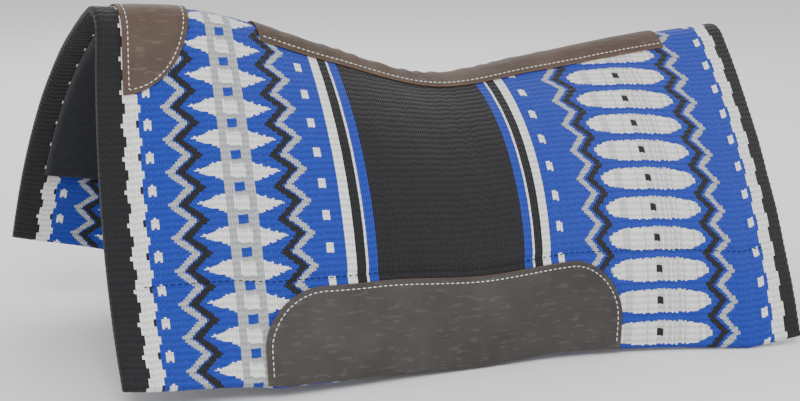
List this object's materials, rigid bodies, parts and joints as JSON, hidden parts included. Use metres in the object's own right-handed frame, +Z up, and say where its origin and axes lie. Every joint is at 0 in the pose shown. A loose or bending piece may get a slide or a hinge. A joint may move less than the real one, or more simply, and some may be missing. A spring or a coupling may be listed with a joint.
{
  "type": "saddle pad",
  "caption": "Contoured western saddle pad: striped saw-tooth woven blanket top over a black felt liner, leather on withers, spine and sides, with folding side flaps.",
  "frame": {"origin": "on the surface the pad stands on, under the middle of the pad's bounding box", "axes": "+X along the spine towards the withers, +Y to the left (near) side, +Z up"},
  "size_m": [0.8832, 0.58, 0.4279],
  "materials": {
    "woven_blanket": "coarse striped wool weave",
    "black_felt": "thick pressed felt",
    "brown_leather": "scuffed, oiled",
    "charcoal_leather": "matt, lightly scuffed",
    "white_thread": "waxed thread",
    "black_thread": "quilting thread"
  },
  "bodies": {
    "ridge": {"blanket_ridge": "woven_blanket", "felt_ridge": "black_felt", "wither_leather": "brown_leather", "wither_stitching": "white_thread", "spine_leather": "brown_leather", "spine_stitching": "white_thread"},
    "left_flap": {"blanket_left_flap": "woven_blanket", "felt_left_flap": "black_felt", "wear_leather_left": "charcoal_leather", "wear_stitching_left": "white_thread", "liner_stitching_left": "black_thread"},
    "right_flap": {"blanket_right_flap": "woven_blanket", "felt_right_flap": "black_felt", "wear_leather_right": "charcoal_leather", "wear_stitching_right": "white_thread", "liner_stitching_right": "black_thread"}
  },
  "joints": [
    {"name": "left_fold", "type": "hinge", "parent": "ridge", "child": "left_flap", "pos_m": [-0.0166, 0.1302, 0.2055], "axis": [0.9979, -0.0646, 0], "range_deg": [-20, 20]},
    {"name": "right_fold", "type": "hinge", "parent": "ridge", "child": "right_flap", "pos_m": [-0.0166, -0.1623, 0.2055], "axis": [-0.9944, 0.1053, 0], "range_deg": [-20, 20]}
  ]
}
